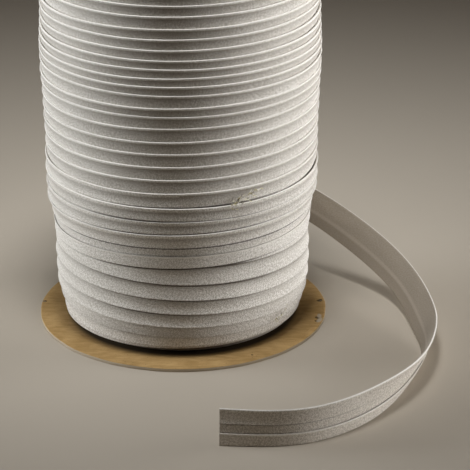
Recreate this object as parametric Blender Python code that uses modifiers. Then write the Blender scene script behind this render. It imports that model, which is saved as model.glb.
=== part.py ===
"""A bulk roll of single-fold bias tape on a round card base.

The tape is wound to and fro up the roll, always the same way round: clockwise seen from above.
A first layer, wound upwards, shows at the foot, where each turn laps over the one below it. The
outer layer, wound downwards, covers the rest, and each of its turns laps over the one above it.
Its last turn peels away at the back and comes forward over the table as the loose end.

Metres, +Z up. The origin is the centre of the card's underside and the roll's front faces -Y.
"""
import math
from collections import namedtuple

import bmesh
import bpy
import numpy as np

MM = 0.001
GAP = 0.3 * MM

# The card base
CARD_RADIUS = 49.25 * MM
CARD_THICKNESS = 1.2 * MM
CARD_EDGE_ROUND = 0.25 * MM
CARD_SIDES = 96

# The folded tape: its width, and its outer face from one fold to the other. Each row gives how far
# across the tape it lies and how far below the hems' face it is, so the middle rows are the gap
# between the two hems.
FaceRow = namedtuple("FaceRow", "across depth")
TAPE_WIDTH = 12.7 * MM
TAPE_FACE = (
    FaceRow(0.0, 0.0),
    FaceRow(5.1 * MM, 0.0),
    FaceRow(5.2 * MM, 0.3 * MM),
    FaceRow(8.3 * MM, 0.3 * MM),
    FaceRow(8.4 * MM, 0.0),
    FaceRow(TAPE_WIDTH, 0.0),
)
LAP_STEP = 0.5 * MM
STRIP_SLOPE = 0.04

# Steps round the roll in one turn
STEPS = 48

# Height of each turn's showing edge above the table, where it passes the front of the roll.
# The outer layer is listed from the top down, and its edges are the tape's upper folds. Its last
# row is where one more turn would pass. The first layer is listed from the card up, and its edges
# are the tape's lower folds.
OUTER_FRONTS = np.array((
    146.9, 146.3, 143.2, 139.8, 136.2, 132.4, 128.6, 124.9, 121.4, 117.4, 114.1, 110.5, 107.2,
    104.3, 101.4, 98.5, 95.4, 91.4, 88.2, 84.3, 79.8, 75.5, 71.0, 66.5, 62.0, 56.8, 52.1, 46.4,
    37.8,
)) * MM
FIRST_FRONTS = np.array((3.8, 4.2, 5.4, 8.9, 13.0, 17.7, 22.8, 28.7, 34.8, 41.0, 47.0, 52.0)) * MM

# The roll's radius at the showing edges, from the lowest height up
Girth = namedtuple("Girth", "height radius")
OUTER_GIRTH = (
    Girth(46.4 * MM, 45.6 * MM),
    Girth(57.0 * MM, 46.2 * MM),
    Girth(66.5 * MM, 45.9 * MM),
    Girth(80.0 * MM, 46.3 * MM),
    Girth(91.5 * MM, 46.9 * MM),
    Girth(98.5 * MM, 47.0 * MM),
    Girth(114.0 * MM, 46.4 * MM),
    Girth(136.0 * MM, 46.2 * MM),
    Girth(147.0 * MM, 45.7 * MM),
)
FIRST_GIRTH = (
    Girth(4.2 * MM, 40.3 * MM),
    Girth(8.9 * MM, 41.6 * MM),
    Girth(13.0 * MM, 42.9 * MM),
    Girth(22.8 * MM, 43.4 * MM),
    Girth(34.8 * MM, 44.2 * MM),
)

# Where the layers start and stop, in steps of the winding counted from the first listed front.
# Both start at the back, and the last turn leaves the roll a little over half a turn past the front.
LEAVES_AFTER = 25
OUTER_START = STEPS // 2
OUTER_STOP = STEPS * (len(OUTER_FRONTS) - 2) + LEAVES_AFTER
FIRST_START = STEPS // 2
FIRST_STOP = STEPS * (len(FIRST_FRONTS) - 1)

# The ends of the roll, as rings from the outside in
Ring = namedtuple("Ring", "radius height")
TOP_RINGS = (
    Ring(44.6 * MM, 147.6 * MM),
    Ring(42.6 * MM, 148.2 * MM),
    Ring(34.2 * MM, 148.4 * MM),
    Ring(33.8 * MM, 147.8 * MM),
    Ring(24.2 * MM, 147.9 * MM),
    Ring(23.8 * MM, 147.3 * MM),
    Ring(13.0 * MM, 147.2 * MM),
    Ring(11.5 * MM, 146.0 * MM),
)
FOOT_RINGS = (
    Ring(38.4 * MM, 2.7 * MM),
    Ring(36.0 * MM, CARD_THICKNESS + GAP),
)
INNER_JOIN = Ring(30.0 * MM, 58.0 * MM)
FIRST_CLOSE = Ring(40.0 * MM, 64.5 * MM)

# The loose end, from the back of the roll to its cut end: the middle of the tape seen from above,
# the height of its lower edge, and how far its upper edge leans away from the roll, in degrees
Station = namedtuple("Station", "x y lift lean")
ROUTE = (
    Station(6.4 * MM, 46.0 * MM, 29.3 * MM, 0.0),
    Station(31.4 * MM, 39.7 * MM, 23.9 * MM, -2.3),
    Station(55.2 * MM, 24.9 * MM, 15.0 * MM, 8.1),
    Station(73.9 * MM, 4.9 * MM, 5.5 * MM, 18.2),
    Station(81.1 * MM, -18.9 * MM, 1.3 * MM, 27.7),
    Station(82.0 * MM, -38.8 * MM, 0.0, 20.3),
    Station(75.8 * MM, -60.3 * MM, 0.0, 22.8),
    Station(62.6 * MM, -82.5 * MM, 0.0, 8.6),
    Station(40.1 * MM, -99.3 * MM, 0.0, 3.3),
    Station(13.0 * MM, -100.1 * MM, 0.0, -2.5),
)
ROUTE_PIECES = 72
SHEET_THICKNESS = 1.0 * MM

CARD_COLOUR = (0.24, 0.15, 0.075)
CARD_ROUGHNESS = 0.85
TAPE_COLOUR = (0.72, 0.68, 0.61)
TAPE_ROUGHNESS = 0.9
SHARP_DEGREES = 20.0


def clear_scene():
    """Start from an empty file."""
    for old in list(bpy.data.objects):
        bpy.data.objects.remove(old, do_unlink=True)


def make_collection(name):
    """A new collection in the scene."""
    collection = bpy.data.collections.new(name)
    bpy.context.scene.collection.children.link(collection)
    return collection


def make_material(name, colour, roughness):
    """A plain finish for one piece."""
    material = bpy.data.materials.new(name)
    material.use_nodes = True
    shader = material.node_tree.nodes["Principled BSDF"]
    shader.inputs["Base Color"].default_value = (*colour, 1.0)
    shader.inputs["Roughness"].default_value = roughness
    shader.inputs["Metallic"].default_value = 0.0
    return material


def add_object(name, bm, collection, material):
    """Turn a bmesh into a smooth-shaded object with its faces pointing out."""
    bmesh.ops.recalc_face_normals(bm, faces=bm.faces)
    mesh = bpy.data.meshes.new(name)
    bm.to_mesh(mesh)
    bm.free()
    mesh.shade_smooth()
    mesh.set_sharp_from_angle(angle=math.radians(SHARP_DEGREES))
    mesh.materials.append(material)
    item = bpy.data.objects.new(name, mesh)
    collection.objects.link(item)
    return item


def smooth_through(values, count):
    """Read count + 1 evenly spaced values from a natural cubic curve through evenly spaced ones."""
    values = np.asarray(values, dtype=float)
    last = len(values) - 1
    system = np.eye(last + 1)
    bend = np.zeros_like(values)
    for row in range(1, last):
        system[row, row - 1:row + 2] = (1.0, 4.0, 1.0)
        bend[row] = 6.0 * (values[row - 1] - 2.0 * values[row] + values[row + 1])
    curvature = np.linalg.solve(system, bend)
    result = []
    for step in range(count + 1):
        place = last * step / count
        row = min(int(place), last - 1)
        after = place - row
        before = 1.0 - after
        result.append(
            before * values[row]
            + after * values[row + 1]
            + (before ** 3 - before) * curvature[row] / 6.0
            + (after ** 3 - after) * curvature[row + 1] / 6.0
        )
    return np.array(result)


def at_step(step, radius, height):
    """A point on the roll: step 0 is the front, and the steps run clockwise seen from above."""
    angle = -math.pi / 2.0 - 2.0 * math.pi * step / STEPS
    return (radius * math.cos(angle), radius * math.sin(angle), height)


def close_with_rings(bm, border, first, rings):
    """Carry a layer's border in over level rings and close it.

    The border runs once round from the first step, so its last corners stand over its first one.
    """
    level = [bm.verts.new(at_step(first + i, rings[0].radius, rings[0].height)) for i in range(STEPS)]
    for i in range(STEPS):
        bm.faces.new((border[i], border[i + 1], level[(i + 1) % STEPS], level[i]))
    bm.faces.new((*border[STEPS:], border[0], level[0]))
    for ring in rings[1:]:
        inner = [bm.verts.new(at_step(first + i, ring.radius, ring.height)) for i in range(STEPS)]
        for i in range(STEPS):
            after = (i + 1) % STEPS
            bm.faces.new((level[i], level[after], inner[after], inner[i]))
        level = inner
    bm.faces.new(level)


def wound_layer(fronts, girth, first, last, side, start_rings, end_rings):
    """One layer of the winding as a closed body, each turn lapping over the turn before.

    Side is -1 where a turn hangs down from its showing edge, and 1 where it stands up from it.
    """
    heights = smooth_through(fronts, STEPS * (len(fronts) - 1))
    bm = bmesh.new()
    edge = {}
    tuck = {}
    face = {}
    for step in range(first, last + 1):
        height = heights[step]
        radius = np.interp(height, [row.height for row in girth], [row.radius for row in girth])
        edge[step] = bm.verts.new(at_step(step, radius, height))
        if step >= first + STEPS:
            tuck[step] = bm.verts.new(at_step(step, radius - LAP_STEP, height))
        if step >= last - STEPS:
            face[step] = [edge[step]]
            for row in TAPE_FACE[1:]:
                inward = radius - row.depth - STRIP_SLOPE * row.across
                face[step].append(bm.verts.new(at_step(step, inward, height + side * row.across)))
    for step in range(first, last):
        if step >= first + STEPS:
            bm.faces.new((tuck[step], tuck[step + 1], edge[step + 1], edge[step]))
        if step < last - STEPS:
            lapped = (tuck[step + 1 + STEPS], tuck[step + STEPS])
            bm.faces.new((edge[step], edge[step + 1], *lapped))
        else:
            here, there = face[step], face[step + 1]
            for near in range(len(TAPE_FACE) - 1):
                far = near + 1
                bm.faces.new((here[near], there[near], there[far], here[far]))
    bm.faces.new((*reversed(face[last - STEPS]), tuck[last], *face[last]))
    start = [edge[step] for step in range(first, first + STEPS + 1)] + [tuck[first + STEPS]]
    close_with_rings(bm, start, first, start_rings)
    finish = [face[step][-1] for step in range(last - STEPS, last + 1)]
    close_with_rings(bm, finish, last, end_rings)
    return bm


def make_card(collection):
    """The round card that the roll stands on."""
    bpy.ops.mesh.primitive_cylinder_add(
        vertices=CARD_SIDES,
        radius=CARD_RADIUS,
        depth=CARD_THICKNESS,
        location=(0.0, 0.0, CARD_THICKNESS / 2.0),
    )
    card = bpy.context.object
    card.name = "base_card"
    card.data.name = "base_card"
    for holder in list(card.users_collection):
        holder.objects.unlink(card)
    collection.objects.link(card)
    rounding = card.modifiers.new("Worn edge", "BEVEL")
    rounding.width = CARD_EDGE_ROUND
    rounding.segments = 1
    card.data.shade_smooth()
    card.data.set_sharp_from_angle(angle=math.radians(SHARP_DEGREES))
    card.data.materials.append(make_material("Card", CARD_COLOUR, CARD_ROUGHNESS))
    return card


def make_roll(collection, cutters):
    """The wound tape: the outer layer joined to the first layer that shows below it."""
    material = make_material("Wound tape", TAPE_COLOUR, TAPE_ROUGHNESS)
    outer = wound_layer(
        OUTER_FRONTS, OUTER_GIRTH, OUTER_START, OUTER_STOP, -1, TOP_RINGS, (INNER_JOIN,)
    )
    roll = add_object("tape_roll", outer, collection, material)
    first = wound_layer(
        FIRST_FRONTS, FIRST_GIRTH, FIRST_START, FIRST_STOP, 1, FOOT_RINGS, (FIRST_CLOSE,)
    )
    under = add_object("First layer", first, cutters, material)
    under.hide_render = True
    under.display_type = "WIRE"
    join = roll.modifiers.new("Join first layer", "BOOLEAN")
    join.operation = "UNION"
    join.solver = "EXACT"
    join.object = under
    return roll


def make_loose_end(collection):
    """The free tape: its folded section carried along the route, standing on its lower fold."""
    table = smooth_through(ROUTE, ROUTE_PIECES)
    lean = np.radians(table[:, 3])
    half_width = TAPE_WIDTH / 2.0
    half_sheet = SHEET_THICKNESS / 2.0
    middle = table[:, :3].copy()
    middle[:, 2] += half_width * np.cos(lean) + half_sheet * np.abs(np.sin(lean))
    travel = np.gradient(middle, axis=0)
    travel /= np.linalg.norm(travel, axis=1)[:, None]
    level_out = np.cross((0.0, 0.0, 1.0), travel)
    level_out /= np.linalg.norm(level_out, axis=1)[:, None]
    upright = np.cross(travel, level_out)
    outline = [(half_width - row.across, half_sheet - row.depth) for row in TAPE_FACE]
    outline += [(-half_width, -half_sheet), (half_width, -half_sheet)]
    bm = bmesh.new()
    sections = []
    for place, tilt, up, out in zip(middle, lean, upright, level_out):
        across = math.cos(tilt) * up + math.sin(tilt) * out
        through = math.cos(tilt) * out - math.sin(tilt) * up
        sections.append([bm.verts.new(place + w * across + t * through) for w, t in outline])
    for here, there in zip(sections, sections[1:]):
        for i in range(len(outline)):
            after = (i + 1) % len(outline)
            bm.faces.new((here[i], there[i], there[after], here[after]))
    bm.faces.new(sections[0])
    bm.faces.new(reversed(sections[-1]))
    material = make_material("Loose tape", TAPE_COLOUR, TAPE_ROUGHNESS)
    return add_object("loose_end", bm, collection, material)


def main():
    """Build the roll, its card and its loose end."""
    clear_scene()
    collection = make_collection("Roll of bias tape")
    cutters = make_collection("Joined shapes")
    make_card(collection)
    make_roll(collection, cutters)
    make_loose_end(collection)


main()
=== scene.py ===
"""The looks of a bulk roll of single-fold bias tape on its card base.

Every strip is the real cloth: a thin sheet with its two hems folded in, wound round the roll so
that each turn laps over the one before. The outer layer runs down the roll and ends in the loose
tape, and the first layer shows below it.
"""
import math
import random
from collections import namedtuple

import bpy
import numpy as np
from mathutils import Matrix, Vector, noise


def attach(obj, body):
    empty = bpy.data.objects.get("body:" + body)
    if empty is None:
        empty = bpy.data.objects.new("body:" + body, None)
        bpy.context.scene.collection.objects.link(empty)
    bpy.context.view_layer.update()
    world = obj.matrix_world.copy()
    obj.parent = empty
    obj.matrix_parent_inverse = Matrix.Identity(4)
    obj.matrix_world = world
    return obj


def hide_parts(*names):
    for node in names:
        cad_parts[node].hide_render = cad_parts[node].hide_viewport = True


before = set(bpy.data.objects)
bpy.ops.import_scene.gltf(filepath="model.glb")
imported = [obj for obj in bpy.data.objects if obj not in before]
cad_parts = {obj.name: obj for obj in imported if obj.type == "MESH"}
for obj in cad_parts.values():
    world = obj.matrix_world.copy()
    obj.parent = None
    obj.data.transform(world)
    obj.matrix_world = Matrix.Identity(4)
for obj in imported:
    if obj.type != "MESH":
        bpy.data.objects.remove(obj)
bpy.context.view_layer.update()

MM = 0.001

# The cloth and the folded tape
CLOTH = 0.32 * MM
PLY = 0.19 * MM
BULGE = 0.25 * MM
FOLD_RADIUS = BULGE + CLOTH / 2.0
SPRING = 0.16 * MM
TAPE_WIDTH = 12.7 * MM
UPPER_HEM = 5.1 * MM
LOWER_HEM = 4.3 * MM

# The outline of a fold: where its face and its hem start to lie flat, and where the hem's flat
# part stops. Towards its raw edge the hem springs up, by a share of the whole spring at each
# distance from the edge.
FACE_FLAT = 0.9 * MM
HEM_FLAT = 0.75 * MM
HEM_FLAT_STOP = 3.4 * MM
SPRING_SHARES = ((0.0, 1.0), (0.35 * MM, 0.5), (0.8 * MM, 0.1))

# The same on a lapped turn, which is flat from farther out, and how far its hidden ply reaches
LAPPED_FLAT = 0.95 * MM
LAPPED_ROUNDING = (0.62 * MM, PLY + 0.03 * MM)
HIDDEN_REACH = 2.5 * MM

# How far in the tape reaches from its fold on the outer layer and on the first one
LAPPED_REACH = 5.7 * MM
FIRST_REACH = 7.4 * MM

# The angle between faces up to which a piece is shaded smooth, in degrees
SMOOTH_ANGLE = 50.0

# The card
CARD_THICKNESS = 1.2 * MM
CARD_RADIUS = 49.25 * MM

# Each turn's showing edge where it passes the front: its height above the table, and its slope
# towards the right. The outer layer is listed from the top down and the first layer from the
# card up. The last row of each is a turn that isn't wound.
Turn = namedtuple("Turn", "height slope")
OUTER_TURNS = (
    Turn(146.7 * MM, 0.000), Turn(146.1 * MM, 0.006), Turn(143.0 * MM, 0.011),
    Turn(139.6 * MM, 0.011), Turn(136.0 * MM, 0.013), Turn(132.2 * MM, 0.013),
    Turn(128.4 * MM, 0.012), Turn(124.75 * MM, 0.012), Turn(121.2 * MM, 0.009),
    Turn(117.05 * MM, 0.017), Turn(113.85 * MM, 0.015), Turn(110.2 * MM, 0.011),
    Turn(106.9 * MM, 0.007), Turn(104.0 * MM, 0.007), Turn(101.05 * MM, 0.012),
    Turn(98.2 * MM, 0.007), Turn(95.3 * MM, 0.008), Turn(91.0 * MM, 0.011),
    Turn(88.05 * MM, 0.014), Turn(83.95 * MM, 0.018), Turn(79.5 * MM, 0.021),
    Turn(75.25 * MM, 0.021), Turn(70.85 * MM, 0.014), Turn(66.35 * MM, 0.018),
    Turn(61.75 * MM, 0.016), Turn(56.55 * MM, 0.008), Turn(51.7 * MM, 0.013),
    Turn(47.05 * MM, 0.024), Turn(38.5 * MM, 0.030),
)
FIRST_TURNS = (
    Turn(3.8 * MM, 0.016), Turn(4.15 * MM, 0.016), Turn(4.8 * MM, 0.006),
    Turn(8.55 * MM, -0.020), Turn(12.75 * MM, -0.027), Turn(17.65 * MM, -0.026),
    Turn(22.8 * MM, -0.028), Turn(28.35 * MM, -0.022), Turn(34.65 * MM, -0.035),
    Turn(41.0 * MM, -0.022), Turn(47.0 * MM, -0.022),
)

# The roll's radius at the showing edges, from the lowest height up
Girth = namedtuple("Girth", "height radius")
OUTER_GIRTH = (
    Girth(46.4 * MM, 45.6 * MM), Girth(57.0 * MM, 46.2 * MM), Girth(66.5 * MM, 45.9 * MM),
    Girth(80.0 * MM, 46.3 * MM), Girth(91.5 * MM, 46.9 * MM), Girth(98.5 * MM, 47.0 * MM),
    Girth(114.0 * MM, 46.4 * MM), Girth(136.0 * MM, 46.2 * MM), Girth(147.0 * MM, 45.7 * MM),
)
FIRST_GIRTH = (
    Girth(4.2 * MM, 40.4 * MM), Girth(8.9 * MM, 41.7 * MM), Girth(13.0 * MM, 42.9 * MM),
    Girth(22.8 * MM, 43.4 * MM), Girth(29.0 * MM, 43.3 * MM), Girth(36.0 * MM, 42.9 * MM),
)

# How the tape lies on the roll: its even slope inwards, the dip just past its fold, and the
# steeper stretch where the next turn covers it. The last turn has no other over it, and sinks
# in over its whole width, from the run with which it starts, in turns.
LEAN = -0.02
DIP = 0.58 * MM
DIP_LENGTH = 1.1 * MM
FIRST_DIP_LENGTH = 1.6 * MM
TUCK = 0.55
TUCK_START = 0.45 * MM
LAST_DIP = 2.5 * MM
LAST_DIP_LENGTH = 4.5 * MM
LAST_RUN = 0.2

# A soft band from 0 to its share and back to 0
Band = namedtuple("Band", "low full fading high share")

# At the right the last turn is pressed flat: its single ply stands as high as its hems, up to
# here in turns, and sinks between them over the run before that
FLAT_STOP = 26.95
FLAT_RUN = 0.08
FLAT_RISE = 0.3 * MM
SINGLE_PLY = Band(5.0 * MM, 6.2 * MM, 7.8 * MM, 9.0 * MM, 1.0)

# The distance to the next lap that is kept where no turn laps over the cloth, and how much of
# the creases the next turn hides, under the outer layer and where it ends above the first. The
# painted crease shadow is laid by this distance.
OPEN = 1.0
HIDDEN_CREASE = 0.25 * MM
FOOT_CREASE = 0.2 * MM

# The painted shade in the creases and below the folds: its full share up to the start, and none past
# the stop. Below a fold the two are places across the tape, and on the first layer they are distances
# to the next lap. The gap's painted shade lies on the recessed single ply below the upper raw edge.
ShadeRamp = namedtuple("ShadeRamp", "start stop share")
BELOW_FOLD = 0.8 * MM
OUTER_FOLD_SHADE = ShadeRamp(BELOW_FOLD, 4.2 * MM, 0.72)
OPEN_FOLD_SHADE = ShadeRamp(BELOW_FOLD, 4.4 * MM, 0.75)
GAP_SHADE = ShadeRamp(UPPER_HEM, UPPER_HEM + 3.0 * MM, 0.35)
LOOSE_FOLD_SHADE = ShadeRamp(BELOW_FOLD, 3.0 * MM, 0.15)
WIDE_FOOT_SHADE = ShadeRamp(0.5 * MM, 3.2 * MM, 0.45)
NARROW_FOOT_SHADE = ShadeRamp(0.5 * MM, 1.3 * MM, 0.7)

# Painted shade on the first layer: its third strip gets painted shade all over, by turns, for its
# downward face. Its lowest turns get less painted shade, and its folds, which face down, get painted
# shade along their edge.
THIRD_STRIP_SHADE = Band(2.75, 3.0, 3.85, 4.05, 0.3)
LOWEST_SHADE_SHARE = 0.3
LOWEST_TURNS_STOP = 1.7
FULL_SHADE_START = 2.5
DOWN_FOLD_SHADE = 0.6
DOWN_FOLD_SHADE_WIDTH = 0.3 * MM

# The winding in turns: where the outer layer starts, where a painted crease shadow begins to show
# under it, where its last turns become a piece of their own, and where the tape begins to peel away.
# The first layer's turns are counted apart.
OUTER_START = 0.5
CREASED_START = 23.87
LAST_START = 24.0
PEEL_START = 27.41
FIRST_START = 0.5
FIRST_STOP = 9.4

# How finely the winding is worked out: steps in a turn's height, and stations round a turn
HEIGHT_STEPS = 64
WOUND_STATIONS = 160
LAST_STATIONS = 250
PEEL_STEPS = 26

# The soft unevenness along the tape, in the height of its edge and in the roll's radius
Ripple = namedtuple("Ripple", "wave size seed")
EDGE_RIPPLE = Ripple(34.0 * MM, 0.16 * MM, 0.0)
GIRTH_RIPPLE = Ripple(27.0 * MM, 0.16 * MM, 3.0)
FINE_GIRTH_RIPPLE = Ripple(7.0 * MM, 0.05 * MM, 6.0)
COIL_EDGE_RIPPLE = Ripple(60.0 * MM, 0.5 * MM, 80.0)
COIL_RIPPLE = Ripple(25.0 * MM, 0.12 * MM, 90.0)
OUTER_SEED = 11.0
FIRST_SEED = 47.0

# The loose end, from the back of the roll to its cut end: the middle of the tape seen from above,
# the height of its lower edge, and how far its upper edge leans away from the roll, in degrees
Station = namedtuple("Station", "x y lift lean")
ROUTE = (
    Station(6.4 * MM, 46.0 * MM, 29.3 * MM, 0.0),
    Station(31.4 * MM, 39.7 * MM, 23.9 * MM, -2.3),
    Station(55.2 * MM, 24.9 * MM, 15.0 * MM, 8.1),
    Station(73.9 * MM, 4.9 * MM, 5.5 * MM, 18.2),
    Station(81.1 * MM, -18.9 * MM, 1.3 * MM, 27.7),
    Station(82.0 * MM, -38.8 * MM, 0.0, 20.3),
    Station(75.8 * MM, -60.3 * MM, 0.0, 22.8),
    Station(62.6 * MM, -82.5 * MM, 0.0, 8.6),
    Station(40.1 * MM, -99.3 * MM, 0.0, 3.3),
    Station(13.0 * MM, -100.1 * MM, 0.0, -2.5),
)
ROUTE_STATIONS = 300

# The soft waves across the loose tape: how far each quarter of its width lies inwards, and the
# stations over which they begin
LOOSE_CURL = (0.0, 0.28 * MM, 0.12 * MM, -0.08 * MM, 0.05 * MM)
CURL_STEPS = 48
CURL_RUN = 40

# The wound coils that show at the top end, and the mass of tape behind the strips
Ring = namedtuple("Ring", "radius height")
TOP_RINGS = (
    Ring(2.0 * MM, 145.9 * MM), Ring(11.0 * MM, 146.1 * MM), Ring(13.5 * MM, 147.1 * MM),
    Ring(23.8 * MM, 147.3 * MM), Ring(25.0 * MM, 147.9 * MM), Ring(33.8 * MM, 147.9 * MM),
    Ring(35.0 * MM, 148.3 * MM), Ring(42.6 * MM, 148.1 * MM), Ring(44.8 * MM, 147.2 * MM),
)
COIL_SPACING = 1.1 * MM
COIL_STATION = 2.2 * MM
COIL_REACH = 2.2 * MM
INSIDE_DEPTH = 2.0 * MM
INSIDE_FOOT = (Ring(36.0 * MM, CARD_THICKNESS + 0.3 * MM), Ring(38.2 * MM, 2.8 * MM))
INSIDE_RAISE = 0.4 * MM
TOP_INSET = 0.6 * MM
TOP_DROP = 1.6 * MM
INSIDE_SIDES = 128

# The photograph's camera: its place, its pitch below level and its roll in degrees, its lens,
# and the nearest thing that it sees
CAMERA_PLACE = (17.9 * MM, -792.2 * MM, 366.6 * MM)
CAMERA_PITCH = 23.15
CAMERA_ROLL = -0.106
CAMERA_LENS = 193.2
CAMERA_NEAR = 50.0 * MM


def smooth_through(values, count):
    """Read count + 1 evenly spaced values from a natural cubic curve through evenly spaced ones."""
    values = np.asarray(values, dtype=float)
    last = len(values) - 1
    system = np.eye(last + 1)
    bend = np.zeros_like(values)
    for row in range(1, last):
        system[row, row - 1:row + 2] = (1.0, 4.0, 1.0)
        bend[row] = 6.0 * (values[row - 1] - 2.0 * values[row] + values[row + 1])
    curvature = np.linalg.solve(system, bend)
    place = last * np.arange(count + 1) / count
    row = np.minimum(place.astype(int), last - 1)
    after = (place - row).reshape(-1, *[1] * (values.ndim - 1))
    before = 1.0 - after
    straight = before * values[row] + after * values[row + 1]
    curve = (before ** 3 - before) * curvature[row] + (after ** 3 - after) * curvature[row + 1]
    return straight + curve / 6.0


def unit(vectors):
    """Each row at length 1."""
    return vectors / np.linalg.norm(vectors, axis=-1, keepdims=True)


def rippled(lengths, form, seed=0.0):
    """A soft unevenness along the tape, the same on every run."""
    row = form.seed + seed
    return np.array([form.size * noise.noise(Vector((s / form.wave, row, 0.5))) for s in lengths])


def ease(value, low, high):
    """Rise softly from 0 to 1 as the value goes from low to high."""
    share = np.clip((value - low) / (high - low), 0.0, 1.0)
    return share * share * (3.0 - 2.0 * share)


def within(value, band):
    """Rise softly from 0 to the band's share and fall back to 0."""
    rising = ease(value, band.low, band.full)
    falling = ease(value, band.fading, band.high)
    return rising * (1.0 - falling) * band.share


def shade_from_ramp(value, painted_shade):
    """The share of painted shade at a value: full at the start of the ramp, none at its stop."""
    return painted_shade.share * (1.0 - ease(value, painted_shade.start, painted_shade.stop))


# How the cloth is folded and wound

def fold_arc(centre, first_degrees):
    """Half a turn of the cloth round a fold, as rows of place across the tape and height."""
    rows = []
    for step in range(5):
        angle = math.radians(first_degrees + 45.0 * step)
        rows.append((centre + BULGE * math.cos(angle), BULGE * math.sin(angle)))
    return rows


def hem_rows(fold, reach):
    """A hem from its raw edge, which springs up a little, to the arc at its fold."""
    toward = math.copysign(1.0, reach)
    edge = fold + reach
    rows = [(edge - toward * back, PLY + share * SPRING) for back, share in SPRING_SHARES]
    flat = np.linspace(HEM_FLAT_STOP, HEM_FLAT, 4)
    return rows + [(fold + toward * across, PLY) for across in flat]


def folded_section():
    """The whole tape, from the raw edge of its upper hem to that of its lower hem."""
    far = TAPE_WIDTH - FOLD_RADIUS
    rows = hem_rows(0.0, UPPER_HEM)
    rows += fold_arc(FOLD_RADIUS, 90.0)
    rows += [(across, -PLY) for across in np.linspace(FACE_FLAT, TAPE_WIDTH - FACE_FLAT, 9)]
    rows += fold_arc(far, -90.0)
    rows += reversed(hem_rows(TAPE_WIDTH, -LOWER_HEM))
    return np.array(rows)


def lapped_section(reach, count):
    """The part of the tape that shows on the roll: one ply out to its reach, and its fold."""
    rows = [(across, PLY) for across in np.linspace(reach, LAPPED_FLAT, count)]
    rows += [LAPPED_ROUNDING, *fold_arc(FOLD_RADIUS, 90.0), (HIDDEN_REACH, -PLY)]
    return np.array(rows)


def wound_frames(turns, girth, start, stop, stations, seed):
    """Where the showing edge runs on the roll: its places, the way out, and each turn's pitch."""
    heights = np.array([row.height for row in turns])
    rows = np.arange(len(turns))
    table = smooth_through(heights, HEIGHT_STEPS * (len(turns) - 1))
    at = np.arange(len(table)) / HEIGHT_STEPS
    place = np.linspace(start, stop, int(round((stop - start) * stations)) + 1)
    height = np.interp(place, at, table)
    pitch = np.abs(np.interp(place + 1.0, at, table) - height)
    radius = np.interp(height, [row.height for row in girth], [row.radius for row in girth])
    fall = np.gradient(table, at)[rows * HEIGHT_STEPS]
    wanted = np.array([row.slope for row in turns])
    lengths = 2.0 * math.pi * radius * place
    extra = wanted + fall / (2.0 * math.pi * np.interp(heights, *zip(*girth)))
    angle = -math.pi / 2.0 - 2.0 * math.pi * place
    height = height + np.interp(place, rows, extra) * radius * np.cos(angle)
    height = height + rippled(lengths, EDGE_RIPPLE, seed)
    radius = radius + rippled(lengths, GIRTH_RIPPLE, seed)
    radius = radius + rippled(lengths, FINE_GIRTH_RIPPLE, seed)
    out = np.stack([np.cos(angle), np.sin(angle), np.zeros_like(angle)], axis=1)
    edge = out * (radius - FOLD_RADIUS)[:, None]
    edge[:, 2] = height
    return place, edge, out, pitch


def lay_rows(edge, away, out, section, lean):
    """Put the section's rows at every station: away from the showing edge, and out from the roll."""
    across = section[:, 0][None, :, None]
    lift = (section[:, 1][None, :] - lean)[:, :, None]
    return edge[:, None, :] + away[:, None, :] * across + out[:, None, :] * lift


def resting_lean(section, pitch, dip, dip_length):
    """How far each row of the section lies inside the showing edge, at every station."""
    across = section[:, 0][None, :]
    resting = LEAN * across + dip * (1.0 - np.exp(-across / dip_length))
    return resting + TUCK * np.maximum(0.0, across - pitch[:, None] + TUCK_START)


def fold_shade(section, painted_shade):
    """The share of painted shade in each row of the section, on the ply that turns in below its fold.
    """
    across = section[:, 0]
    below_fold = (across > BELOW_FOLD) & (section[:, 1] > 0.0)
    return below_fold * shade_from_ramp(across, painted_shade)


def select_none():
    """Deselect everything, so that an operator acts on the new piece alone."""
    bpy.ops.object.select_all(action="DESELECT")


def make_active(piece):
    """Select one piece alone."""
    select_none()
    piece.select_set(True)
    bpy.context.view_layer.objects.active = piece


def face_outwards(piece):
    """Merge doubles and turn every face outwards."""
    make_active(piece)
    bpy.ops.object.mode_set(mode="EDIT")
    bpy.ops.mesh.select_all(action="SELECT")
    bpy.ops.mesh.remove_doubles(threshold=0.000001)
    bpy.ops.mesh.normals_make_consistent(inside=False)
    bpy.ops.object.mode_set(mode="OBJECT")
    bpy.ops.object.shade_smooth_by_angle(angle=math.radians(SMOOTH_ANGLE))


def point_places(mesh):
    """The places of a mesh's points, one to a row."""
    places = np.zeros(len(mesh.vertices) * 3)
    mesh.vertices.foreach_get("co", places)
    return places.reshape(-1, 3)


def lay_grid(name, rows):
    """A flat grid laid on the rows, with the station and the place across of each of its points."""
    stations, across = rows.shape[:2]
    select_none()
    bpy.ops.mesh.primitive_grid_add(x_subdivisions=stations - 1, y_subdivisions=across - 1, size=2.0)
    strip = bpy.context.object
    strip.name = name
    flat = point_places(strip.data)
    along = np.rint((flat[:, 0] + 1.0) / 2.0 * (stations - 1)).astype(int)
    over = np.rint((flat[:, 1] + 1.0) / 2.0 * (across - 1)).astype(int)
    strip.data.vertices.foreach_set("co", rows[along, over].ravel())
    return strip, along, over


def lengths_along(places):
    """How far each place of a line lies from its first, along the line."""
    steps = np.linalg.norm(np.diff(places, axis=0), axis=1)
    return np.concatenate([[0.0], np.cumsum(steps)])


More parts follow.
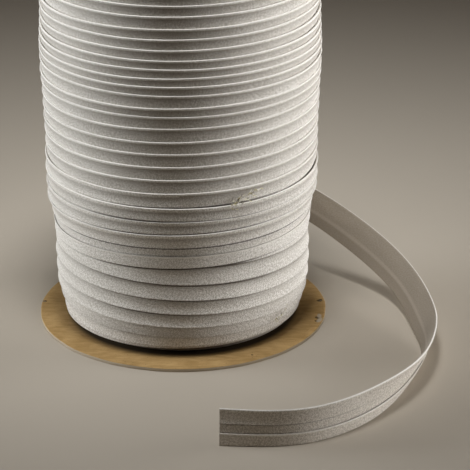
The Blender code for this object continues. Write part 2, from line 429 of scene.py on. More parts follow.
def map_cloth(mesh, rows, along, over, way):
    """Map the grid in metres of cloth, along the tape and across it."""
    length = lengths_along(rows[:, rows.shape[1] // 2])
    width = lengths_along(rows[-1])
    corners = np.zeros(len(mesh.loops), dtype=int)
    mesh.loops.foreach_get("vertex_index", corners)
    cloth_map = mesh.uv_layers[0]
    cloth_map.name = "Cloth"
    places = np.stack([way * length[along[corners]], width[over[corners]]], axis=1)
    cloth_map.data.foreach_set("uv", places.ravel())
    mesh.update()


def thicken(strip):
    """Give the grid the cloth's thickness, half of it to each side. This doubles its points."""
    make_active(strip)
    thick = strip.modifiers.new("Cloth thickness", "SOLIDIFY")
    thick.thickness = CLOTH
    thick.offset = 0.0
    bpy.ops.object.modifier_apply(modifier=thick.name)


def paint(strip, name, values):
    """Store a value at each point of the strip."""
    layer = strip.data.attributes.new(name, "FLOAT", "POINT")
    layer.data.foreach_set("value", values.astype(float))


def cloth_strip(name, rows, out, painted_shade, lap=OPEN, way=1.0):
    """A strip of cloth, laid on the rows and thickened. Its UV map is in metres of cloth.

    Each point keeps whether it lies on the cloth's outer face, its share of painted shade, and its
    distance from the edge that laps over it, which lays the painted crease shadow.
    """
    strip, along, over = lay_grid(name, rows)
    map_cloth(strip.data, rows, along, over, way)
    thicken(strip)
    offset = point_places(strip.data) - np.tile(rows[along, over], (2, 1))
    outer = np.sum(offset * np.tile(out[along], (2, 1)), axis=1) > -0.05 * CLOTH
    shade = np.broadcast_to(painted_shade, rows.shape[:2])[along, over]
    to_lap = np.broadcast_to(lap, rows.shape[:2])[along, over]
    paint(strip, "Outer face", outer)
    # Painted shade, kept on the outer face only
    paint(strip, "Painted shade", outer * np.tile(shade, 2))
    paint(strip, "To the lap", np.where(outer, np.tile(to_lap, 2), OPEN))
    face_outwards(strip)
    return strip


# The wound tape

def wind_outer_layer():
    """The turns that run down the roll, each lapping over the one above it."""
    place, edge, out, pitch = wound_frames(
        OUTER_TURNS, OUTER_GIRTH, OUTER_START, LAST_START, WOUND_STATIONS, OUTER_SEED
    )
    section = lapped_section(LAPPED_REACH, 4)
    down = np.tile((0.0, 0.0, -1.0), (len(place), 1))
    lean = resting_lean(section, pitch, DIP, DIP_LENGTH)
    rows = lay_rows(edge, down, out, section, lean)
    # The distance to the lap, which lays the painted crease shadow on the last outer turns
    to_lap = pitch[:, None] - section[:, 0][None, :] + HIDDEN_CREASE
    to_lap = np.where(place[:, None] > CREASED_START, to_lap, OPEN)
    return cloth_strip("wound_tape", rows, out, fold_shade(section, OUTER_FOLD_SHADE), to_lap)


def last_foot(place):
    """The height of the last turn's lower edge above each place on the first layer."""
    turns, edge = wound_frames(
        OUTER_TURNS, OUTER_GIRTH, PEEL_START - 1.0, PEEL_START, LAST_STATIONS, OUTER_SEED
    )[:2]
    return np.interp(PEEL_START - np.mod(PEEL_START - place, 1.0), turns, edge[:, 2]) - TAPE_WIDTH


def wind_first_layer():
    """The turns at the foot that run up the roll, each lapping over the one below it."""
    place, edge, out, pitch = wound_frames(
        FIRST_TURNS, FIRST_GIRTH, FIRST_START, FIRST_STOP, WOUND_STATIONS, FIRST_SEED
    )
    section = lapped_section(FIRST_REACH, 9)
    up = np.tile((0.0, 0.0, 1.0), (len(place), 1))
    lean = resting_lean(section, pitch, DIP, FIRST_DIP_LENGTH)
    rows = lay_rows(edge, up, out, section, lean)
    across = section[:, 0][None, :]
    to_lap = pitch[:, None] - across
    shade = shade_from_ramp(to_lap, WIDE_FOOT_SHADE)
    shade = np.maximum(shade, shade_from_ramp(to_lap, NARROW_FOOT_SHADE))
    # Painted shade on the third strip, less on the lowest turns, and along the down-facing fold edges
    shade = np.maximum(shade, within(place, THIRD_STRIP_SHADE)[:, None])
    shade_rise = ease(place, LOWEST_TURNS_STOP, FULL_SHADE_START)[:, None]
    shade = shade * (LOWEST_SHADE_SHARE + (1.0 - LOWEST_SHADE_SHARE) * shade_rise)
    shade = np.maximum(shade, DOWN_FOLD_SHADE * (across < DOWN_FOLD_SHADE_WIDTH))
    to_lap = np.where(place[:, None] > LOWEST_TURNS_STOP, to_lap, OPEN)
    # The painted shadow line below the last turn's lower edge is laid by the distance to it
    to_foot = last_foot(place)[:, None] - rows[:, :, 2]
    return cloth_strip(
        "first_layer", rows, out, shade, np.minimum(to_lap, to_foot - FOOT_CREASE), -1.0
    )


def route_frames():
    """The loose end: the places of its upper edge, the way down across it, and the way out."""
    table = smooth_through(ROUTE, ROUTE_STATIONS)
    lean = np.radians(table[:, 3:4])
    middle = table[:, :3].copy()
    middle[:, 2:] += TAPE_WIDTH / 2.0 * np.cos(lean) + FOLD_RADIUS * np.abs(np.sin(lean))
    travel = unit(np.gradient(middle, axis=0))
    level_out = unit(np.cross((0.0, 0.0, 1.0), travel))
    upright = np.cross(travel, level_out)
    across = np.cos(lean) * upright + np.sin(lean) * level_out
    out = np.cos(lean) * level_out - np.sin(lean) * upright
    return middle + across * TAPE_WIDTH / 2.0, -across, out


def peeling_frames(last_edge, last_out, route):
    """The stretch in which the tape leaves the roll, between its last wound place and the route."""
    edge, away, out = route
    begin, end = last_edge[-1], edge[0]
    reach = np.linalg.norm(end - begin)
    leave = unit(last_edge[-1] - last_edge[-2]) * reach
    arrive = unit(edge[1] - edge[0]) * reach
    share = (np.arange(1, PEEL_STEPS + 1) / PEEL_STEPS)[:, None]
    square, cube = share ** 2, share ** 3
    places = (
        (2.0 * cube - 3.0 * square + 1.0) * begin
        + (cube - 2.0 * square + share) * leave
        + (3.0 * square - 2.0 * cube) * end
        + (cube - square) * arrive
    )
    blend = ease(share, 0.0, 1.0)
    down = np.array((0.0, 0.0, -1.0))
    return places, unit((1.0 - blend) * down + blend * away[0]), unit(
        (1.0 - share) * last_out[-1] + share * out[0]
    )


def open_shade(section):
    """The painted shade on the whole tape, below its fold and on the recessed ply below its upper raw
    edge.
    """
    across = section[:, 0]
    gap = (section[:, 1] < 0.0) & (across > UPPER_HEM)
    return fold_shade(section, OPEN_FOLD_SHADE) + gap * shade_from_ramp(across, GAP_SHADE)


def wind_last_turns(route):
    """The outer layer's last turns, as whole folded tape, up to where the tape is loose."""
    place, edge, out, pitch = wound_frames(
        OUTER_TURNS, OUTER_GIRTH, LAST_START, PEEL_START, LAST_STATIONS, OUTER_SEED
    )
    section = folded_section()
    last_turn = PEEL_START - 1.0
    under_lap = resting_lean(section, pitch, DIP, DIP_LENGTH)
    bare = LAST_DIP * (1.0 - np.exp(-section[:, 0] / LAST_DIP_LENGTH))
    share = ease(place, last_turn, last_turn + LAST_RUN)[:, None]
    lean = (1.0 - share) * under_lap + share * bare
    single = within(section[:, 0], SINGLE_PLY)
    pressed = 1.0 - ease(place, FLAT_STOP - FLAT_RUN, FLAT_STOP)[:, None]
    lean = lean - pressed * single * (section[:, 1] < 0.0) * FLAT_RISE
    peel_edge, peel_away, peel_out = peeling_frames(edge, out, route)
    easing = 1.0 - ease(np.arange(1, len(peel_edge) + 1), 0, len(peel_edge))
    down = np.tile((0.0, 0.0, -1.0), (len(place), 1))
    edge = np.concatenate([edge, peel_edge])
    down = np.concatenate([down, peel_away])
    out = np.concatenate([out, peel_out])
    lean = np.concatenate([lean, easing[:, None] * bare])
    rows = lay_rows(edge, down, out, section, lean)
    to_lap = np.full(rows.shape[:2], OPEN)
    lapped = place < last_turn
    to_lap[:len(place)][lapped] = (pitch[:, None] - section[:, 0][None, :])[lapped]
    return cloth_strip("last_turns", rows, out, open_shade(section), to_lap)


def lay_loose_tape(route):
    """The free tape, folded as it comes off the roll, standing on its lower fold."""
    edge, away, out = route
    section = folded_section()
    places = smooth_through(LOOSE_CURL, CURL_STEPS)
    curl = np.interp(section[:, 0], np.linspace(0.0, TAPE_WIDTH, len(places)), places)
    lean = np.tile(curl, (len(edge), 1)) * ease(np.arange(len(edge)), 0, CURL_RUN)[:, None]
    rows = lay_rows(edge, away, out, section, lean)
    return cloth_strip("loose_tape", rows, out, fold_shade(section, LOOSE_FOLD_SHADE))


# Each frayed place is a line: its azimuths in degrees, its heights, the radius it lies on, and
# how many threads it has
Fray = namedtuple("Fray", "start stop low high radius count")
FRAYS = (
    Fray(-69.0, -57.5, 56.4 * MM, 60.2 * MM, 46.5 * MM, 28),
    Fray(-43.5, -33.0, 8.2 * MM, 11.0 * MM, 42.1 * MM, 12),
)
FRAY_SEED = 5

# A loose thread: its radius, and the least and most of its slant in radians, of its length, of
# its bow sideways, of its lift off the tape, and of its height above its line
FRAY_THREAD = 0.1 * MM
THREAD_SIDES = 5
THREAD_POINTS = 8
THREAD_SLANT = (-0.6, 1.3)
THREAD_LENGTH = (1.0 * MM, 2.6 * MM)
THREAD_BOW = (-0.5 * MM, 0.5 * MM)
THREAD_LIFT = (0.1 * MM, 0.45 * MM)
THREAD_STRAY = (-0.7 * MM, 0.7 * MM)


def fray_threads():
    """The loose threads at the join in the outer layer and on the lowest turns."""
    chance = random.Random(FRAY_SEED)
    points, faces = [], []
    for fray in FRAYS:
        for _ in range(fray.count):
            share = chance.random()
            azimuth = math.radians(fray.start + share * (fray.stop - fray.start))
            height = fray.low + share * (fray.high - fray.low) + chance.uniform(*THREAD_STRAY)
            angle = chance.uniform(*THREAD_SLANT)
            length = chance.uniform(*THREAD_LENGTH)
            bow = chance.uniform(*THREAD_BOW)
            lift = chance.uniform(*THREAD_LIFT)
            places = []
            for step in np.linspace(0.0, 1.0, THREAD_POINTS):
                arch = math.sin(math.pi * step)
                side = length * step * math.cos(angle) - bow * arch * math.sin(angle)
                rise = length * step * math.sin(angle) + bow * arch * math.cos(angle)
                radius = fray.radius + lift * arch
                turn = azimuth + side / fray.radius
                places.append((radius * math.cos(turn), radius * math.sin(turn), height + rise))
            add_thread(np.array(places), points, faces)
    mesh = bpy.data.meshes.new("frayed_threads")
    mesh.from_pydata(points, [], faces)
    threads = bpy.data.objects.new("frayed_threads", mesh)
    bpy.context.scene.collection.objects.link(threads)
    face_outwards(threads)
    return threads


def add_thread(places, points, faces):
    """Add one thin closed thread along its places to the points and faces."""
    sides = THREAD_SIDES
    first = len(points)
    travel = unit(np.gradient(places, axis=0))
    across = unit(np.cross(travel, (0.3, 0.2, 1.0)))
    upright = np.cross(across, travel)
    for place, over, up in zip(places, across, upright):
        for side in range(sides):
            angle = 2.0 * math.pi * side / sides
            points.append(tuple(place + FRAY_THREAD * (math.cos(angle) * over + math.sin(angle) * up)))
    for ring in range(len(places) - 1):
        for side in range(sides):
            this, following = first + ring * sides, first + (ring + 1) * sides
            ahead = (side + 1) % sides
            faces.append((this + side, this + ahead, following + ahead, following + side))
    faces.append(tuple(range(first + sides - 1, first - 1, -1)))
    faces.append(tuple(range(len(points) - sides, len(points))))


def coil_top():
    """The folds of the inner turns, as a spiral over the top end."""
    outer = TOP_RINGS[-1].radius
    inner = TOP_RINGS[0].radius
    turns = (outer - inner) / COIL_SPACING
    whole = math.pi * turns * (outer + inner)
    stations = int(whole / COIL_STATION)
    share = np.arange(stations + 1) / stations
    radius = np.sqrt(outer ** 2 + share * (inner ** 2 - outer ** 2))
    angle = math.pi / 2.0 - 2.0 * math.pi * (outer - radius) / COIL_SPACING
    lengths = share * whole
    height = np.interp(radius, [row.radius for row in TOP_RINGS], [row.height for row in TOP_RINGS])
    height = height + rippled(lengths, COIL_EDGE_RIPPLE)
    radius = radius + rippled(lengths, COIL_RIPPLE)
    out = np.stack([np.cos(angle), np.sin(angle), np.zeros_like(angle)], axis=1)
    edge = out * radius[:, None]
    edge[:, 2] = height
    down = np.tile((0.0, 0.0, -1.0), (len(edge), 1))
    section = lapped_section(COIL_REACH, 2)
    lean = np.zeros((len(edge), len(section)))
    rows = lay_rows(edge, down, out, section, lean)
    return cloth_strip("top_coils", rows, out, 0.0)


def turned_body(name, profile, sides):
    """A closed body turned round the roll's axis, from a profile that starts and ends on it."""
    mesh = bpy.data.meshes.new(name)
    points = [(ring.radius, 0.0, ring.height) for ring in profile]
    mesh.from_pydata(points, [(i, i + 1) for i in range(len(points) - 1)], [])
    body = bpy.data.objects.new(name, mesh)
    bpy.context.scene.collection.objects.link(body)
    make_active(body)
    bpy.ops.object.mode_set(mode="EDIT")
    bpy.ops.mesh.select_all(action="SELECT")
    bpy.ops.mesh.spin(
        steps=sides, angle=2.0 * math.pi, center=(0.0, 0.0, 0.0), axis=(0.0, 0.0, 1.0)
    )
    bpy.ops.object.mode_set(mode="OBJECT")
    face_outwards(body)
    return body


def fill_inside():
    """The mass of wound tape behind the strips that show, down to the card."""
    rings = [Ring(0.0, INSIDE_FOOT[0].height), *INSIDE_FOOT]
    rings += [Ring(row.radius - INSIDE_DEPTH, row.height + INSIDE_RAISE) for row in FIRST_GIRTH]
    rings += [Ring(row.radius - INSIDE_DEPTH, row.height) for row in OUTER_GIRTH[:-1]]
    top = reversed(TOP_RINGS[1:])
    rings += [Ring(ring.radius - TOP_INSET, ring.height - TOP_DROP) for ring in top]
    rings += [Ring(0.0, TOP_RINGS[0].height - TOP_DROP)]
    return turned_body("roll_inside", rings, INSIDE_SIDES)


# The card base

# Its sides, how uneven its cut edge is and in what waves, and how worn
CARD_SIDES = 240
CARD_TRIM = 0.1 * MM
CARD_UNEVEN = 0.16 * MM
CARD_WAVES = (6.0, 31.0)
CARD_WEAR = 0.22 * MM

# Each dent or torn place: where it lies, its half length, width and depth, and its turn in degrees
Mark = namedtuple("Mark", "azimuth radius long wide depth turn")
CARD_MARKS = (
    Mark(174.7, 48.6 * MM, 0.7 * MM, 0.5 * MM, 0.35 * MM, 20.0),
    Mark(5.4, 47.7 * MM, 1.0 * MM, 0.35 * MM, 0.5 * MM, 40.0),
    Mark(-9.5, 47.4 * MM, 0.9 * MM, 2.0 * MM, 0.3 * MM, 8.0),
    Mark(-13.5, 48.0 * MM, 1.0 * MM, 2.4 * MM, 0.3 * MM, -6.0),
)


def cut_card():
    """The round card with its slightly uneven edge, its dents and the torn place at its right."""
    select_none()
    bpy.ops.mesh.primitive_cylinder_add(
        vertices=CARD_SIDES,
        radius=CARD_RADIUS - CARD_TRIM,
        depth=CARD_THICKNESS,
        location=(0.0, 0.0, CARD_THICKNESS / 2.0),
    )
    card = bpy.context.object
    card.name = "card_disc"
    bpy.ops.object.transform_apply(location=True, rotation=False, scale=False)
    for corner in card.data.vertices:
        radius = math.hypot(corner.co.x, corner.co.y)
        around = Vector((corner.co.x, corner.co.y, 0.0)) / radius
        uneven = noise.noise(around * CARD_WAVES[0]) + 0.5 * noise.noise(around * CARD_WAVES[1])
        corner.co.x += around.x * CARD_UNEVEN * uneven
        corner.co.y += around.y * CARD_UNEVEN * uneven
    bevel = card.modifiers.new("Worn edge", "BEVEL")
    bevel.width = CARD_WEAR
    bevel.segments = 3
    bpy.ops.object.modifier_apply(modifier=bevel.name)
    for mark in CARD_MARKS:
        cut_mark(card, mark)
    face_outwards(card)
    return card


def cut_mark(card, mark):
    """Press one dent or torn place into the card's upper face."""
    angle = math.radians(mark.azimuth)
    select_none()
    bpy.ops.mesh.primitive_uv_sphere_add(segments=20, ring_count=12, radius=1.0)
    dent = bpy.context.object
    dent.scale = (mark.long, mark.wide, mark.depth)
    dent.rotation_euler = (0.0, 0.0, angle + math.radians(mark.turn))
    dent.location = (mark.radius * math.cos(angle), mark.radius * math.sin(angle), CARD_THICKNESS)
    bpy.ops.object.transform_apply(location=True, rotation=True, scale=True)
    make_active(card)
    cut = card.modifiers.new("Dent", "BOOLEAN")
    cut.operation = "DIFFERENCE"
    cut.solver = "EXACT"
    cut.object = dent
    bpy.ops.object.modifier_apply(modifier=cut.name)
    bpy.data.objects.remove(dent, do_unlink=True)


# Finishes

# Patches show where noise of a scale is above a level: none at the start, and all at the full
Patches = namedtuple("Patches", "scale start full")

# How fine a spot's uneven edge is, and the share of its size over which it is full
SPOT_SCALE = 1300.0
SPOT_CORE = 0.6


class Reading:
    """One output of a finish's nodes. A sum on it adds Math nodes."""

    def __init__(self, finish, socket):
        self.finish = finish
        self.socket = socket

    def math(self, operation, *terms):
        """Add one Math node on the terms."""
        settings = {"operation": operation}
        return self.finish.node("ShaderNodeMath", settings, dict(enumerate(terms)))

    def __add__(self, other):
        return self.math("ADD", self, other)

    def __sub__(self, other):
        return self.math("SUBTRACT", self, other)

    def __rsub__(self, other):
        return self.math("SUBTRACT", other, self)

    def __mul__(self, other):
        return self.math("MULTIPLY", self, other)

    __radd__ = __add__
    __rmul__ = __mul__


class Finish:
    """One material, built from node calls and sums."""

    def __init__(self, name, roughness, sheen):
        self.material = bpy.data.materials.new(name)
        self.material.use_nodes = True
        self.tree = self.material.node_tree
        self.shader = self.tree.nodes["Principled BSDF"]
        self.shader.inputs["Roughness"].default_value = roughness
        self.shader.inputs["Sheen Weight"].default_value = sheen
        self.shader.inputs["Specular IOR Level"].default_value = 0.25

    def node(self, kind, settings=None, inputs=None, output=0):
        """Add a node: its settings first, then the values or links of its sockets."""
        node = self.tree.nodes.new(kind)
        for key, value in (settings or {}).items():
            setattr(node, key, value)
        for key, value in (inputs or {}).items():
            if isinstance(value, Reading):
                self.tree.links.new(value.socket, node.inputs[key])
            else:
                node.inputs[key].default_value = value
        return Reading(self, node.outputs[output])

    def axis(self, vector, number):
        """One part of a vector: 0 for X, 1 for Y and 2 for Z."""
        return self.node("ShaderNodeSeparateXYZ", None, {"Vector": vector}, output=number)

    def place(self):
        """Where each point of the piece lies."""
        return self.node("ShaderNodeTexCoord", output=3)

    def kept(self, name):
        """A value that the piece keeps at each of its points."""
        return self.node("ShaderNodeAttribute", {"attribute_name": name}, output=2)

    def mix(self, share, first, second):
        """Blend two colours."""
        settings = {"data_type": "RGBA"}
        inputs = {0: share, 6: first, 7: second}
        return self.node("ShaderNodeMix", settings, inputs, output=2)

    def rise(self, value, low, high):
        """A soft step from 0 to 1 between two values."""
        settings = {"interpolation_type": "SMOOTHSTEP"}
        inputs = {"Value": value, "From Min": low, "From Max": high}
        return self.node("ShaderNodeMapRange", settings, inputs)

    def within(self, value, band):
        """A soft band from 0 to its share and back to 0."""
        rising = self.rise(value, band.low, band.full)
        falling = self.rise(value, band.fading, band.high)
        return rising * (1.0 - falling) * band.share

    def noise(self, vector, scale, detail=2.0):
        """Plain noise at a scale."""
        inputs = {"Vector": vector, "Scale": scale, "Detail": detail, "Roughness": 0.55}
        return self.node("ShaderNodeTexNoise", None, inputs)

    def patches(self, place, form):
        """Uneven patches, from 0 to 1."""
        return self.rise(self.noise(place, form.scale, detail=1.0), form.start, form.full)

    def slanting_threads(self, along, across, scale):
        """One set of threads that runs slantwise over the cloth, from -0.5 to 0.5."""
        parts = {"X": (along + across) * scale[0], "Y": (along - across) * scale[1]}
        return self.noise(self.node("ShaderNodeCombineXYZ", None, parts), 1.0, detail=1.0) - 0.5

    def spot(self, place, centre, size):
        """An uneven mark about a point, fading at its edge."""
        ends = {0: place, 1: centre}
        apart = self.node("ShaderNodeVectorMath", {"operation": "DISTANCE"}, ends, output=1)
        uneven = (self.noise(place, SPOT_SCALE) - 0.5) * size
        return 1.0 - self.rise(apart + uneven, size * SPOT_CORE, size)

    def wear(self, colour, height, distance):
        """Put the colour and the relief on the shader."""
        inputs = {"Strength": 1.0, "Distance": distance, "Height": height}
        bump = self.node("ShaderNodeBump", None, inputs)
        self.tree.links.new(colour.socket, self.shader.inputs["Base Color"])
        self.tree.links.new(bump.socket, self.shader.inputs["Normal"])
        return self.material


# The cotton's colours: its paler and darker thread tones, the loose tape's tones darkened as painted
# shade, and the colours of painted shade, painted shadow, painted highlight and frayed edges
PALE_COTTON = (0.92, 0.887, 0.842, 1.0)
SHADED_COTTON = (0.6, 0.56, 0.5, 1.0)
# The loose tape's tones: the same cotton darkened as painted shade
LOOSE_PALE_IN_SHADE = (0.77, 0.715, 0.645, 1.0)
LOOSE_DARK_IN_SHADE = (0.49, 0.44, 0.375, 1.0)
INSIDE_SHADE_COTTON = (0.28, 0.235, 0.18, 1.0)
CREASE_SHADE_GREY = (0.2, 0.165, 0.125, 1.0)
SHADOW_AND_SPECK_DARK = (0.07, 0.055, 0.04, 1.0)
HIGHLIGHT_AND_FRAY_PALE = (0.93, 0.9, 0.85, 1.0)

# Bands by their place across the cloth from the raw edge of its first hem: the painted shadow under
# the upper hem, the fray and painted highlight at the lower raw edge, and the painted highlight
# along the ridge on the inner side
UNDER_HEM_SHADOW = Band(10.1 * MM, 10.3 * MM, 10.65 * MM, 11.0 * MM, 1.0)
LOWER_EDGE_FRAY_AND_HIGHLIGHT = Band(21.4 * MM, 21.7 * MM, 23.0 * MM, 24.0 * MM, 0.8)
INSIDE_RIDGE_HIGHLIGHT = Band(12.0 * MM, 13.1 * MM, 13.3 * MM, 14.4 * MM, 0.2)

# The painted highlight along a fold's edge, by its distance from the fold
FOLD_HIGHLIGHT = Band(-0.4 * MM, -0.15 * MM, 0.2 * MM, 0.4 * MM, 0.85)

# The painted shadow line in a crease: the distances from the lap between which it fades, how dark it
# is, and how much of it and of the painted crease shade is lost between the roll's front and its
# sides, where the side lamps light the creases
CREASE_WIDTH = (0.2 * MM, 0.65 * MM)
CREASE_SHADOW_SHARE = 0.95
CREASE_SHADOW_LOSS = 0.7
CREASE_SHADE_LOSS = 0.35
FRONT_HALF_WIDTH = 8.0 * MM
SIDE_START = 36.0 * MM

# The slanting threads: how fine each set is each way, its share of the tone, how much more the
# first set stands out, the share of both that shows on the inner side, and their relief
WARP_SCALE = (2300.0, 850.0)
WEFT_SCALE = (1000.0, 2300.0)
WARP_TONE = 3.2
WEFT_TONE = 1.8
WARP_RISE = 1.5
INNER_WEAVE = 0.3
WEAVE_RELIEF = 0.14 * MM

# The soft clouds over the cloth: how fine they are, and their share of the tone
CLOUD_SCALE = 60.0
CLOUD_TONE = 0.5

# How fine and how deep the raggedness of a raw edge is, and the share of it in a crease
JAG_SCALE = 1500.0
RAW_JAG = 0.7 * MM
CREASE_JAG = 0.3

# The painted shade on the inner side of the open tape: its share, and how much more below its ridge
INSIDE_SHADE_SHARE = 0.6
BELOW_RIDGE_SHADE_SHARE = 0.15

# The dark speck on the roll, and how dark a speck or spot is
SPECK_PLACE = (-28.7 * MM, -37.1 * MM, 89.1 * MM)
SPECK_SIZE = 0.45 * MM
SPOT_SHARE = 0.85


def plain_cotton(name, pale, shaded, fold_place, hem_shadow):
    """Bias-cut cotton: its threads run slantwise, it has painted shade in the creases and frays at raw
    edges.

    The upper fold, at its place across the cloth, gets a painted highlight along its edge. A place of
    0 leaves that out, as on the first layer, whose folds face down. The share of painted shadow under
    the upper hem is 0 for tape that shows only its lapped folds.
    """
    finish = Finish(name, roughness=0.92, sheen=0.12)
    cloth = finish.node("ShaderNodeUVMap", {"uv_map": "Cloth"})
    along, across = finish.axis(cloth, 0), finish.axis(cloth, 1)
    warp = finish.slanting_threads(along, across, WARP_SCALE)
    weft = finish.slanting_threads(along, across, WEFT_SCALE)
    cloud = finish.noise(cloth, CLOUD_SCALE, detail=3.0) - 0.5
    jag = (finish.noise(cloth, JAG_SCALE) - 0.5) * RAW_JAG
    outer = finish.kept("Outer face")
    clear = INNER_WEAVE + outer * (1.0 - INNER_WEAVE)
    threads = (warp * WARP_TONE + weft * WEFT_TONE) * clear
    tone = finish.rise(0.5 + threads + cloud * CLOUD_TONE, 0.0, 1.0)
    colour = finish.mix(tone, shaded, pale)
    place = finish.place()
    sideways = finish.axis(place, 0)
    to_side = finish.rise(sideways * sideways, FRONT_HALF_WIDTH ** 2, SIDE_START ** 2)
    # Painted shade in the creases and below the folds, fainter towards the sides where the side lamps
    # reach
    painted_shade = finish.kept("Painted shade") * (1.0 - to_side * CREASE_SHADE_LOSS)
    colour = finish.mix(painted_shade, colour, CREASE_SHADE_GREY)
    # A painted shadow line along each lap, fainter towards the sides
    crease = 1.0 - finish.rise(finish.kept("To the lap") + jag * CREASE_JAG, *CREASE_WIDTH)
    colour = finish.mix(crease * (CREASE_SHADOW_SHARE - to_side * CREASE_SHADOW_LOSS), colour, SHADOW_AND_SPECK_DARK)
    # A painted highlight along the upper fold
    if fold_place:
        colour = finish.mix(outer * finish.within(across - fold_place, FOLD_HIGHLIGHT), colour, HIGHLIGHT_AND_FRAY_PALE)
    if hem_shadow:
        # Painted shade on the inner side, more below its ridge, and a painted highlight on the ridge
        inner = 1.0 - outer
        ridge = finish.within(across, INSIDE_RIDGE_HIGHLIGHT)
        below_ridge = finish.rise(across, INSIDE_RIDGE_HIGHLIGHT.fading, INSIDE_RIDGE_HIGHLIGHT.high)
        inner_shade = inner * (INSIDE_SHADE_SHARE + below_ridge * BELOW_RIDGE_SHADE_SHARE)
        colour = finish.mix(inner_shade, colour, INSIDE_SHADE_COTTON)
        colour = finish.mix(inner * ridge, colour, pale)
        # Painted shadow under the upper hem's raw edge
        line = outer * finish.within(across + jag, UNDER_HEM_SHADOW) * hem_shadow
        colour = finish.mix(line, colour, SHADOW_AND_SPECK_DARK)
        # The lower raw edge: its pale fray and a painted highlight
        colour = finish.mix(outer * finish.within(across + jag, LOWER_EDGE_FRAY_AND_HIGHLIGHT), colour, HIGHLIGHT_AND_FRAY_PALE)
    else:
        speck = finish.spot(place, SPECK_PLACE, SPECK_SIZE)
        colour = finish.mix(speck * SPOT_SHARE, colour, SHADOW_AND_SPECK_DARK)
    return finish.wear(colour, (warp * WARP_RISE + weft) * clear, WEAVE_RELIEF)


# The loose threads' colours
THREAD_COTTON = (0.9, 0.87, 0.8, 1.0)
YELLOWED_COTTON = (0.6, 0.54, 0.27, 1.0)
DARK_THREAD_COTTON = (0.14, 0.11, 0.06, 1.0)

# Where the loose threads are yellowed and where darker, and how fine and deep their roughness is
YELLOWED = Patches(700.0, 0.42, 0.58)
DARK_THREADS = Patches(900.0, 0.56, 0.6)
THREAD_GRAIN = 3000.0
THREAD_RELIEF = 0.03 * MM


def frayed_cotton():
    """Loose threads, some of them yellowed and some darker."""
    finish = Finish("Frayed threads", roughness=0.9, sheen=0.1)
    place = finish.place()
    colour = finish.mix(finish.patches(place, YELLOWED), THREAD_COTTON, YELLOWED_COTTON)
    colour = finish.mix(finish.patches(place, DARK_THREADS), colour, DARK_THREAD_COTTON)
    return finish.wear(colour, finish.noise(place, THREAD_GRAIN), THREAD_RELIEF)


# The card's colours, and how much of its inside and its specks shows
KRAFT_SHADED = (0.37, 0.228, 0.082, 1.0)
KRAFT_PALE = (0.55, 0.36, 0.155, 1.0)
KRAFT_SPECK = (0.12, 0.07, 0.03, 1.0)
CARD_INSIDE = (0.5, 0.44, 0.35, 1.0)
CARD_INSIDE_SHARE = 0.8
SPECK_SHARE = 0.35

# The card's grain, how fine it is each way, its soft clouds and its specks: the share of the
# first two in the tone, the specks' share in the relief, and the relief's height
KRAFT_GRAIN = (190.0, 620.0, 900.0)
KRAFT_GRAIN_TONE = 1.3
KRAFT_CLOUD_SCALE = 110.0
KRAFT_CLOUD_TONE = 1.1
KRAFT_SPECKS = Patches(1500.0, 0.66, 0.74)
SPECK_RISE = 0.3
KRAFT_RELIEF = 0.05 * MM

# The cut edge and the torn places show the card's inside, up to these heights between which it
# fades into the face
INSIDE_SHOWS = (CARD_THICKNESS - 0.24 * MM, CARD_THICKNESS - 0.06 * MM)

# Dark spots on the card's face: the first four sit at its dents and torn place as their painted shade,
# the last is a dark spot
CardSpot = namedtuple("CardSpot", "place size")
CARD_SPOTS_AND_DENT_SHADE = (
    CardSpot((-48.1 * MM, 4.4 * MM, CARD_THICKNESS), 0.9 * MM),
    CardSpot((47.3 * MM, 4.5 * MM, CARD_THICKNESS), 1.3 * MM),
    CardSpot((46.1 * MM, -9.4 * MM, CARD_THICKNESS), 1.1 * MM),
    CardSpot((45.6 * MM, -12.2 * MM, CARD_THICKNESS), 0.8 * MM),
    CardSpot((23.5 * MM, -38.7 * MM, CARD_THICKNESS), 0.5 * MM),
)
SPOT_AND_DENT_SHADE_BROWN = (0.06, 0.035, 0.012, 1.0)

# The painted shadow on the card under the roll: the radius of full dark, where it ends, and how dark
UNDER_ROLL_SHADOW = (38.0 * MM, 40.8 * MM)
UNDER_ROLL_SHADOW_BROWN = (0.02, 0.012, 0.005, 1.0)
UNDER_ROLL_SHADOW_SHARE = 0.94


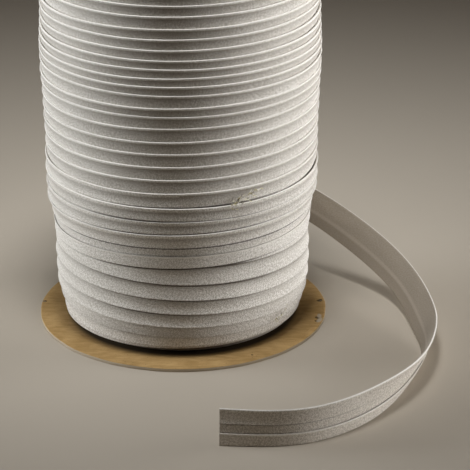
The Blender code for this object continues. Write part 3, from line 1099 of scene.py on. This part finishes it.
def kraft_card():
    """Brown card with a fine level grain, paler where its edge and torn places show the inside, with
    painted shadow under the roll and painted shade in its dents.
    """
    finish = Finish("Kraft card", roughness=0.8, sheen=0.0)
    place = finish.place()
    fibres = finish.node("ShaderNodeMapping", None, {"Vector": place, "Scale": KRAFT_GRAIN})
    grain = finish.noise(fibres, 1.0, detail=3.0) - 0.5
    cloud = finish.noise(place, KRAFT_CLOUD_SCALE, detail=3.0) - 0.5
    specks = finish.patches(place, KRAFT_SPECKS)
    tone = finish.rise(0.5 + grain * KRAFT_GRAIN_TONE + cloud * KRAFT_CLOUD_TONE, 0.0, 1.0)
    face = finish.mix(tone, KRAFT_SHADED, KRAFT_PALE)
    face = finish.mix(specks * SPECK_SHARE, face, KRAFT_SPECK)
    # Painted shade in the dents and the torn place, and one more dark spot
    for spot in CARD_SPOTS_AND_DENT_SHADE:
        face = finish.mix(finish.spot(place, spot.place, spot.size) * SPOT_SHARE, face, SPOT_AND_DENT_SHADE_BROWN)
    # Painted shadow where the roll stands on the card
    radius = finish.node("ShaderNodeVectorMath", {"operation": "LENGTH"}, {0: place}, output=1)
    shadow = 1.0 - finish.rise(radius, *UNDER_ROLL_SHADOW)
    face = finish.mix(shadow * UNDER_ROLL_SHADOW_SHARE, face, UNDER_ROLL_SHADOW_BROWN)
    inside = 1.0 - finish.rise(finish.axis(place, 2), *INSIDE_SHOWS)
    colour = finish.mix(inside * CARD_INSIDE_SHARE, face, CARD_INSIDE)
    return finish.wear(colour, grain + specks * SPECK_RISE, KRAFT_RELIEF)


# The table
TABLE_COLOUR = (0.52, 0.465, 0.39, 1.0)
TABLE_SIZE = 8.0


def pale_floor():
    """A plain pale table."""
    finish = Finish("Pale floor", roughness=0.7, sheen=0.0)
    finish.shader.inputs["Base Color"].default_value = TABLE_COLOUR
    return finish.material


# Light, table and camera

def set_stage():
    """The table under the roll."""
    select_none()
    bpy.ops.mesh.primitive_plane_add(size=TABLE_SIZE, location=(0.0, 0.0, 0.0))
    table = bpy.context.object
    table.name = "table"
    table.data.materials.append(pale_floor())


# The softboxes, the angle of their beams in degrees, the point that they face, and the light
# from all round
Softbox = namedtuple("Softbox", "name place wide tall watts colour")
SOFTBOX_SPREAD = 55.0
SOFTBOX_AIM = (0.0, 0.0, 0.22)
SOFTBOXES = (
    Softbox("right_softbox", (0.75, 0.06, 0.2), 0.45, 0.45, 1.4, (0.975, 0.98, 0.98)),
    Softbox("left_softbox", (-0.75, 0.11, 0.26), 0.45, 0.45, 1.16, (0.94, 0.975, 1.0)),
    Softbox("top_softbox", (0.0, -0.12, 0.6), 0.12, 0.12, 0.2, (0.975, 0.98, 0.98)),
)
AIR_COLOUR = (1.0, 0.7, 0.4, 1.0)
AIR_STRENGTH = 0.028


def set_lights():
    """A softbox at each side and one overhead, and a little light from all round."""
    for box in SOFTBOXES:
        lamp = bpy.data.lights.new(box.name, "AREA")
        lamp.shape = "RECTANGLE"
        lamp.size = box.wide
        lamp.size_y = box.tall
        lamp.energy = box.watts
        lamp.spread = math.radians(SOFTBOX_SPREAD)
        lamp.color = box.colour
        holder = bpy.data.objects.new(box.name, lamp)
        holder.location = box.place
        aim = Vector(SOFTBOX_AIM) - Vector(box.place)
        holder.rotation_euler = aim.to_track_quat("-Z", "Y").to_euler()
        bpy.context.scene.collection.objects.link(holder)
    world = bpy.data.worlds.new("Studio")
    world.use_nodes = True
    air = world.node_tree.nodes["Background"]
    air.inputs["Color"].default_value = AIR_COLOUR
    air.inputs["Strength"].default_value = AIR_STRENGTH
    bpy.context.scene.world = world
    bpy.context.scene.view_settings.view_transform = "Standard"


def set_camera():
    """The photograph's view: from the front, a little to the right, looking down."""
    lens = bpy.data.cameras.new("camera")
    lens.lens = CAMERA_LENS
    lens.clip_start = CAMERA_NEAR
    camera = bpy.data.objects.new("camera", lens)
    tilt = Matrix.Rotation(math.radians(90.0 - CAMERA_PITCH), 4, "X")
    roll = Matrix.Rotation(math.radians(CAMERA_ROLL), 4, "Z")
    camera.matrix_world = Matrix.Translation(CAMERA_PLACE) @ tilt @ roll
    bpy.context.scene.collection.objects.link(camera)
    bpy.context.scene.camera = camera


# Putting it together

def dress(piece, material, slot, *nodes):
    """Give a piece its finish, hang it under the root, and hide the model's solids that it stands for.
    """
    piece.data.materials.clear()
    piece.data.materials.append(material)
    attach(piece, "root")
    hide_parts(*nodes)


def main():
    """Build every piece and light them."""
    set_camera()
    set_lights()
    set_stage()
    lapped_cotton = plain_cotton("Bias tape", PALE_COTTON, SHADED_COTTON, LAPPED_REACH, 0.0)
    foot_cotton = plain_cotton("Bias tape at the foot", PALE_COTTON, SHADED_COTTON, 0.0, 0.0)
    open_cotton = plain_cotton(
        "Bias tape with its hems showing", PALE_COTTON, SHADED_COTTON, UPPER_HEM, 0.9
    )
    loose_cotton = plain_cotton(
        "Loose bias tape", LOOSE_PALE_IN_SHADE, LOOSE_DARK_IN_SHADE, UPPER_HEM, 0.4
    )
    route = route_frames()
    dress(wind_outer_layer(), lapped_cotton, "tape", "tape_roll")
    dress(wind_last_turns(route), open_cotton, "tape", "tape_roll")
    dress(wind_first_layer(), foot_cotton, "tape", "tape_roll")
    dress(coil_top(), lapped_cotton, "tape", "tape_roll")
    dress(fill_inside(), lapped_cotton, "tape", "tape_roll")
    dress(fray_threads(), frayed_cotton(), "tape", "tape_roll")
    loose = lay_loose_tape(route)
    dress(loose, loose_cotton, "tape", "loose_end")
    length = np.linalg.norm(np.diff(route[0] + route[1] * TAPE_WIDTH / 2.0, axis=0), axis=1).sum()
    dress(cut_card(), kraft_card(), "card", "base_card")


main()
